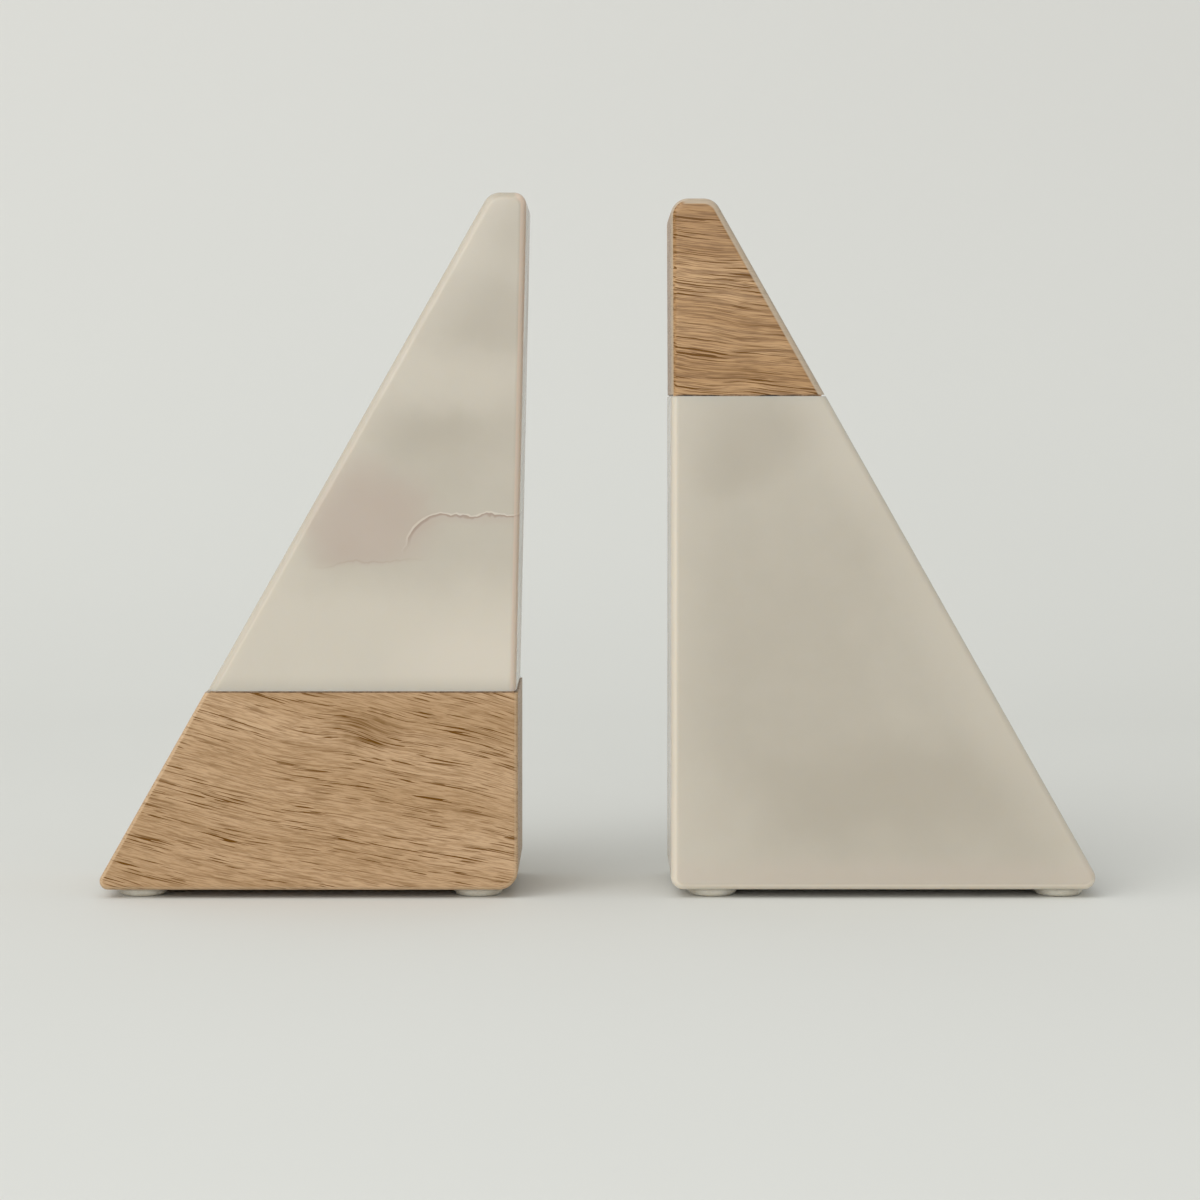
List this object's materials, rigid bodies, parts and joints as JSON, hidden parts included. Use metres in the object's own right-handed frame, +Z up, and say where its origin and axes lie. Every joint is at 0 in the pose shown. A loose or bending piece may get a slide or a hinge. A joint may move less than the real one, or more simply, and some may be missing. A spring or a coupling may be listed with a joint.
{
  "type": "book ends",
  "caption": "Pair of wedge-shaped book ends, each a right triangle made of a stone block and a wood block joined level, on low clear bumper feet.",
  "frame": {"origin": "on the shelf, midway between the outer ends of the pair and midway between front and back", "axes": "+X runs along the shelf to the right, from the wood-based book end to the stone-based one; +Y from front to back; +Z up"},
  "size_m": [0.252, 0.05, 0.1787],
  "materials": {
    "block_stone": "polished, cream to greenish beige, cloudy and slightly translucent",
    "block_wood": "smooth with a thin satin lacquer, warm light brown with short dark pores",
    "dowel_wood": "plain fluted beech",
    "joint_epoxy": "set epoxy, pale amber",
    "foot_silicone": "clear to milky silicone, smooth",
    "adhesive_film": "thin clear pressure-sensitive film"
  },
  "bodies": {
    "left_book_end": {"left_wood_base": "block_wood", "left_stone_top": "block_stone", "left_joint_epoxy": "joint_epoxy", "left_dowel_inner": "dowel_wood", "left_dowel_outer": "dowel_wood", "left_foot_front_inner": "foot_silicone", "left_foot_front_outer": "foot_silicone", "left_foot_back_inner": "foot_silicone", "left_foot_back_outer": "foot_silicone", "left_foot_adhesive_front_inner": "adhesive_film", "left_foot_adhesive_front_outer": "adhesive_film", "left_foot_adhesive_back_inner": "adhesive_film", "left_foot_adhesive_back_outer": "adhesive_film"},
    "right_book_end": {"right_stone_base": "block_stone", "right_wood_tip": "block_wood", "right_joint_epoxy": "joint_epoxy", "right_dowel_front": "dowel_wood", "right_dowel_back": "dowel_wood", "right_foot_front_inner": "foot_silicone", "right_foot_front_outer": "foot_silicone", "right_foot_back_inner": "foot_silicone", "right_foot_back_outer": "foot_silicone", "right_foot_adhesive_front_inner": "adhesive_film", "right_foot_adhesive_front_outer": "adhesive_film", "right_foot_adhesive_back_inner": "adhesive_film", "right_foot_adhesive_back_outer": "adhesive_film"}
  },
  "joints": [
    {"name": "shelf_slide", "type": "slide", "parent": "left_book_end", "child": "right_book_end", "axis": [1, 0, 0], "range_m": [-0.036, 0.25]}
  ]
}
